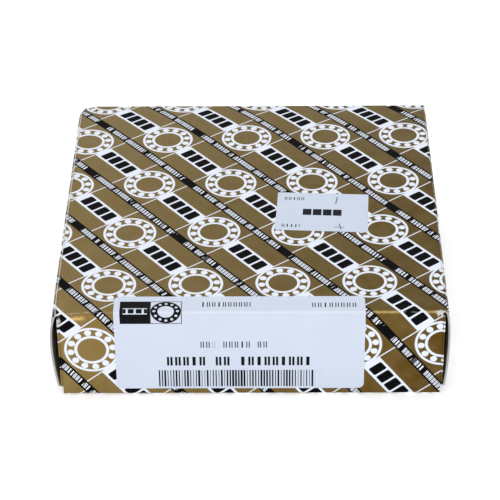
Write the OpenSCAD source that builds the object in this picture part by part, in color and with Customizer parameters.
// Angular contact ball bearing in its printed folding carton.
// Millimetres. +Z is up, +X is right, the labelled panel faces -Y.
// The origin is under the carton's centre, on the surface that it lies on.

/* [Carton] */
// Width of the carton over its left and right creases
carton_w = 95.8; // [95.4:0.1:96.4]
// Depth of the carton, from the labelled panel to the back panel
carton_d = 97; // [96:0.5:104]
// Height of the carton
carton_h = 25.4; // [25.2:0.1:26.4]
// Thickness of the board
board_t = 0.5; // [0.4:0.05:0.55]
// Outer radius of the creases along the carton
crease_r = 0.7; // [0.6:0.05:0.9]
// How far the middle of the left closure panel bows outwards
left_bow = 1.3; // [0.2:0.1:1.3]
// How far the middle of the right closure panel bows outwards
right_bow = 0.8; // [0.2:0.1:1.3]
// Distance from each closure's outer face back to the end of the front, back and bottom panels
panel_setback = 1.15; // [1.15:0.05:1.4]

/* [Flaps] */
// Length of each tuck flap, from its crease to its free edge
tuck_l = 7; // [6:0.5:7]
// How far a tuck flap's free edge is raised above its crease
tuck_rise = 0.6; // [0.6:0.05:0.65]
// Height of the tuck flap's crease above the surface
tuck_z = 1.5; // [1.4:0.05:1.6]
// Length of each dust flap, from its crease to its free edge
dust_l = 15; // [10:0.5:15]
// Height of a dust flap's free edge at its lower corner
dust_tip_low = 4.4; // [4.2:0.1:6]
// Height of a dust flap's free edge at its upper corner
dust_tip_high = 14.2; // [10:0.1:14.2]

/* [Label and sticker] */
// Width of the front label
label_w = 61.2; // [50:0.2:70]
// Depth of the label's strip on the top panel
label_top = 6.6; // [4:0.1:10]
// Height of the label's part on the front panel
label_front = 23.5; // [18:0.1:24]
// Sideways place of the label's centre
label_x = -2.75; // [-8:0.05:8]
// Thickness of the label and the sticker
label_t = 0.1; // [0.08:0.01:0.15]
// Width of the inspection sticker
sticker_w = 23.7; // [15:0.1:30]
// Depth of the inspection sticker
sticker_d = 17.3; // [10:0.1:25]
// Sideways place of the sticker's centre
sticker_x = 18.25; // [10:0.05:25]
// Distance of the sticker's centre behind the front crease
sticker_y = 43.4; // [30:0.1:60]
// Turn of the sticker on the panel, in degrees
sticker_turn = -3.1; // [-8:0.1:8]

/* [Bearing] */
// Bore diameter of the inner ring
bore_d = 60; // [60:0.01:60.02]
// Outside diameter of the outer ring
outer_d = 85; // [84.98:0.01:85]
// Width of both rings
ring_w = 13; // [12.9:0.05:13]
// Diameter of a ball
ball_d = 7.938; // [7.9:0.002:7.96]
// Number of balls
ball_count = 20; // [20:1:20]
// Contact angle, in degrees
contact_angle = 25; // [20:1:30]
// Groove radius as a share of the ball's diameter
groove_share = 0.525; // [0.52:0.001:0.53]
// Gap between each ball and each groove along the contact line
ball_gap = 0.06; // [0.05:0.005:0.07]
// Chamfer on the rings' outer corners
ring_chamfer = 1; // [0.6:0.1:1]
// Width of the cage
cage_w = 11; // [10:0.1:11.4]
// Gap between each ball and its cage pocket
pocket_gap = 0.13; // [0.1:0.01:0.2]

/* [Packing] */
// Height of the bearing's lower face above the surface
bearing_z = 2.5; // [2.5:0.05:2.6]
// Sideways place of the bearing's centre in the closed carton
bearing_x = 4.3; // [4.1:0.05:4.4]
// Gap between the bearing and each pad
pad_gap = 0.1; // [0.08:0.02:0.3]

/* [Hidden] */
$fn = 180;
half_w = carton_w / 2;
half_d = carton_d / 2;
// the closures' hinge line lies just above the top panel's outer surface
hinge_z = carton_h + 0.1;
panel_end = half_w - panel_setback;
top_end = half_w - board_t - 0.05;
closure_low = tuck_z + board_t / 2 + 0.05;
closure_half = half_d - 0.3;
closure_corner_r = 1.5;
arc_steps = 14;
tuck_half = half_d - 4.5;
dust_axis_x = panel_end + 0.3;
dust_low = 2.6;
dust_high = carton_h - 1.2;
mitre = 3;
label_corner_r = 1.5;
sticker_corner_r = 0.4;

pitch_r = (bore_d + outer_d) / 4;
ball_r = ball_d / 2;
groove_r = groove_share * ball_d;
groove_shift = groove_r - ball_r - ball_gap;
mid_z = ring_w / 2;
// groove centres, shifted along the contact line: the outer one inwards and down, the inner one outwards and up
outer_groove = [pitch_r - groove_shift * cos(contact_angle), mid_z - groove_shift * sin(contact_angle)];
inner_groove = [pitch_r + groove_shift * cos(contact_angle), mid_z + groove_shift * sin(contact_angle)];
outer_land_r = 38.35;
outer_relief_r = 40;
outer_relief_mouth_r = 40.3;
inner_land_r = 34.2;
inner_low_land_r = 33.5;
land_chamfer = 0.4;
bore_chamfer = 0.6;
cage_in_r = 34.9;
cage_out_r = 38.15;
cage_edge = 0.35;

upper_pad_z = bearing_z + ring_w + pad_gap;
lower_pad_half = 36;
pad_half_d = half_d - board_t - 1.5;
upper_pad_x = [-40, 44];

gold = [0.50, 0.40, 0.22];
raw_board = [0.86, 0.84, 0.80];
paper_white = [0.87, 0.90, 0.96];
steel = [0.72, 0.73, 0.75];
bright_steel = [0.85, 0.86, 0.88];
phenolic = [0.45, 0.27, 0.13];
kraft = [0.66, 0.52, 0.36];

function ball_name(i) = str("ball_", i < 10 ? "0" : "", i);
function arc(c, r, a0, a1, n) = [for (i = [0:n]) c + r * [cos(a0 + (a1 - a0) * i / n), sin(a0 + (a1 - a0) * i / n)]];
// share of a closure panel's length at height z, counted from its crease and drawn towards it
function bow_share(z) = pow((carton_h - z) / (carton_h - closure_low), 0.8);
// bow of a closure panel at height z: zero at its crease and at its lower edge, greatest above its middle
function bow_at(z, bow) = 4 * bow * bow_share(z) * (1 - bow_share(z));

// Extrudes a shape drawn in (y, z) along X, centred
module along_x(length) {
    rotate([90, 0, 90])
        linear_extrude(length, center = true)
            children();
}

module rounded_plate(w, d, t, r) {
    linear_extrude(t) {
        square([w - 2 * r, d], center = true);
        square([w, d - 2 * r], center = true);
        for (sx = [-1, 1], sy = [-1, 1])
            translate([sx * (w / 2 - r), sy * (d / 2 - r)])
                circle(r);
    }
}

// Rectangle with round corners, centred on Y, standing on z = grow below the carton's base
module section(grow) {
    r = crease_r + grow;
    w = carton_d + 2 * grow;
    h = carton_h + 2 * grow;
    translate([0, carton_h / 2]) {
        square([w - 2 * r, h], center = true);
        square([w, h - 2 * r], center = true);
        for (sy = [-1, 1], sz = [-1, 1])
            translate([sy * (w / 2 - r), sz * (h / 2 - r)])
                circle(r);
    }
}

module sleeve_section() {
    difference() {
        section(0);
        section(-board_t);
    }
}

// One panel's share of the sleeve's section, cut off along the creases' mitre lines
module top_share() {
    intersection() {
        sleeve_section();
        polygon([[-half_d, carton_h], [half_d, carton_h], [half_d - mitre, carton_h - mitre],
            [-half_d + mitre, carton_h - mitre]]);
    }
}

module side_share() {
    intersection() {
        sleeve_section();
        polygon([[-half_d, 0], [-half_d, carton_h], [-half_d + mitre, carton_h - mitre],
            [-half_d + mitre, mitre]]);
    }
}

module bottom_share() {
    intersection() {
        sleeve_section();
        polygon([[-half_d, 0], [half_d, 0], [half_d - mitre, mitre], [-half_d + mitre, mitre]]);
    }
}

module top_panel() {
    color(gold) along_x(2 * top_end) top_share();
}

module front_panel() {
    color(gold) along_x(2 * panel_end) side_share();
}

module back_panel() {
    color(gold) along_x(2 * panel_end) mirror([1, 0]) side_share();
}

module bottom_panel() {
    color(gold) along_x(2 * panel_end) bottom_share();
}

// The seam: a strip creased off the bottom panel and glued inside the back panel
module glue_flap() {
    flap_h = 12;
    flap_low = board_t + 0.5;
    color(raw_board)
        translate([-panel_end + 3, half_d - 2 * board_t - 0.02, flap_low])
            cube([2 * panel_end - 6, board_t, flap_h]);
}

// Closure panel of the right end: a slightly bowed plate that hangs from the top panel's crease
module closure_panel(bow) {
    zs = [for (i = [0:arc_steps]) closure_low + (carton_h - board_t - closure_low) * i / arc_steps];
    outer = [for (z = zs) [half_w + bow_at(z, bow), z]];
    round_top = arc([half_w - board_t, carton_h - board_t], board_t, 0, 90, 6);
    inner = [for (i = [arc_steps:-1:0]) [half_w - board_t + bow_at(zs[i], bow), zs[i]]];
    color(gold)
        intersection() {
            rotate([90, 0, 0])
                linear_extrude(2 * closure_half, center = true)
                    polygon(concat(outer, round_top, inner));
            // round lower corners
            translate([half_w - 5, 0, 0])
                rotate([90, 0, 90])
                    linear_extrude(10)
                        closure_outline();
        }
}

module closure_outline() {
    r = closure_corner_r;
    span = closure_half - r;
    top = carton_h + 1;
    translate([-closure_half, closure_low + r])
        square([2 * closure_half, top - closure_low - r]);
    translate([-span, closure_low])
        square([2 * span, top - closure_low]);
    for (s = [-1, 1])
        translate([s * span, closure_low + r])
            circle(r);
}

// Tuck flap of the right end, round at its crease, with tapered sides and a slightly raised free edge
module tuck_flap() {
    axis_x = half_w - board_t / 2;
    taper = 1.5;
    color(gold)
        translate([axis_x, 0, tuck_z])
        rotate([0, asin(tuck_rise / tuck_l), 0]) {
            rotate([90, 0, 0])
                cylinder(d = board_t, h = 2 * tuck_half, center = true);
            translate([0, 0, -board_t / 2])
                linear_extrude(board_t)
                    polygon([[0, -tuck_half], [0, tuck_half], [-tuck_l, tuck_half - taper],
                        [-tuck_l, -tuck_half + taper]]);
        }
}

// Dust flap of the right end's front corner: its outline is drawn in (y, z) from its crease
module dust_flap() {
    root = board_t / 2;
    color(gold)
        translate([dust_axis_x, -half_d + board_t / 2, 0]) {
            translate([0, 0, dust_low])
                cylinder(d = board_t, h = dust_high - dust_low);
            translate([-root, 0, 0])
                rotate([90, 0, 90])
                    linear_extrude(board_t)
                        polygon([[0, dust_low], [1, dust_low], [dust_l, dust_tip_low],
                            [dust_l, dust_tip_high], [0.5, dust_high], [0, dust_high]]);
        }
}

module front_label() {
    band_r = label_corner_r;
    top_y = -half_d + label_top;
    front_z = carton_h - label_front;
    color(paper_white)
        translate([label_x, 0, 0])
            intersection() {
                along_x(label_w)
                    difference() {
                        section(label_t);
                        section(0);
                    }
                union() {
                    // the part on the top panel
                    translate([0, (top_y - half_d - 2) / 2, carton_h - 1])
                        rounded_plate(label_w, top_y + half_d + 2, 3, band_r);
                    // the part on the front panel
                    translate([0, -half_d + 1, (front_z + carton_h + 2) / 2])
                        rotate([90, 0, 0])
                            rounded_plate(label_w, carton_h + 2 - front_z, 3, band_r);
                }
            }
}

module inspection_sticker() {
    color(paper_white)
        translate([sticker_x, -half_d + sticker_y, carton_h])
            rotate([0, 0, sticker_turn])
                rounded_plate(sticker_w, sticker_d, label_t, sticker_corner_r);
}

// Thin corrugated pad under the bearing
module lower_pad() {
    color(kraft)
        translate([-lower_pad_half, -pad_half_d, board_t])
            cube([2 * lower_pad_half, 2 * pad_half_d, bearing_z - pad_gap - board_t]);
}

// Stack of corrugated sheets between the bearing and the top panel
module upper_pad() {
    color(kraft)
        translate([upper_pad_x[0], -pad_half_d, upper_pad_z])
            cube([upper_pad_x[1] - upper_pad_x[0], 2 * pad_half_d, carton_h - board_t - upper_pad_z]);
}

// Ring section, drawn in (r, z), with the ball groove cut out of its blank
module ring(groove, blank) {
    color(steel)
        translate([bearing_x, 0, bearing_z])
            rotate_extrude()
                difference() {
                    polygon(blank);
                    translate(groove)
                        circle(groove_r);
                }
}

// High shoulder at the top, counterbored at the bottom
module outer_ring() {
    r = outer_d / 2;
    c = land_chamfer;
    ring(outer_groove, [
        [outer_relief_r, mid_z], [outer_land_r, mid_z],
        [outer_land_r, ring_w - c], [outer_land_r + c, ring_w],
        [r - ring_chamfer, ring_w], [r, ring_w - ring_chamfer],
        [r, ring_chamfer], [r - ring_chamfer, 0],
        [outer_relief_mouth_r + c, 0], [outer_relief_mouth_r, c]
    ]);
}

// High shoulder at the bottom, low shoulder at the top
module inner_ring() {
    r = bore_d / 2;
    c = land_chamfer;
    ring(inner_groove, [
        [inner_low_land_r, mid_z], [inner_land_r, mid_z],
        [inner_land_r, c], [inner_land_r - c, 0],
        [r + bore_chamfer, 0], [r, bore_chamfer],
        [r, ring_w - bore_chamfer], [r + bore_chamfer, ring_w],
        [inner_low_land_r - c, ring_w], [inner_low_land_r, ring_w - c]
    ]);
}

// One-piece window cage, guided by the outer ring's land
module cage() {
    z0 = mid_z - cage_w / 2;
    z1 = mid_z + cage_w / 2;
    e = cage_edge;
    profile = [[cage_in_r + e, z0], [cage_out_r - e, z0], [cage_out_r, z0 + e], [cage_out_r, z1 - e],
        [cage_out_r - e, z1], [cage_in_r + e, z1], [cage_in_r, z1 - e], [cage_in_r, z0 + e]];
    color(phenolic)
        translate([bearing_x, 0, bearing_z])
            difference() {
                rotate_extrude()
                    polygon(profile);
                for (i = [1:ball_count])
                    rotate([0, 0, ball_angle(i)])
                        translate([pitch_r - 5, 0, mid_z])
                            rotate([0, 90, 0])
                                cylinder(r = ball_r + pocket_gap, h = 10, $fn = 64);
            }
}

function ball_angle(i) = 360 / ball_count * (i - 0.5);

module ball(i) {
    color(bright_steel)
        translate([bearing_x, 0, bearing_z + mid_z])
            rotate([0, 0, ball_angle(i)])
                translate([pitch_r, 0, 0])
                    sphere(ball_r, $fn = 64);
}

top_panel();
front_panel();
bottom_panel();
back_panel();
glue_flap();
mirror([1, 0, 0]) closure_panel(left_bow);  // left_closure_panel
mirror([1, 0, 0]) tuck_flap();  // left_tuck_flap
mirror([1, 0, 0]) dust_flap();  // left_front_dust_flap
mirror([1, 0, 0]) mirror([0, 1, 0]) dust_flap();  // left_back_dust_flap
closure_panel(right_bow);  // right_closure_panel
tuck_flap();  // right_tuck_flap
dust_flap();  // right_front_dust_flap
mirror([0, 1, 0]) dust_flap();  // right_back_dust_flap
front_label();
inspection_sticker();
lower_pad();
upper_pad();
outer_ring();
inner_ring();
cage();
for (i = [1:ball_count])
    ball(i);
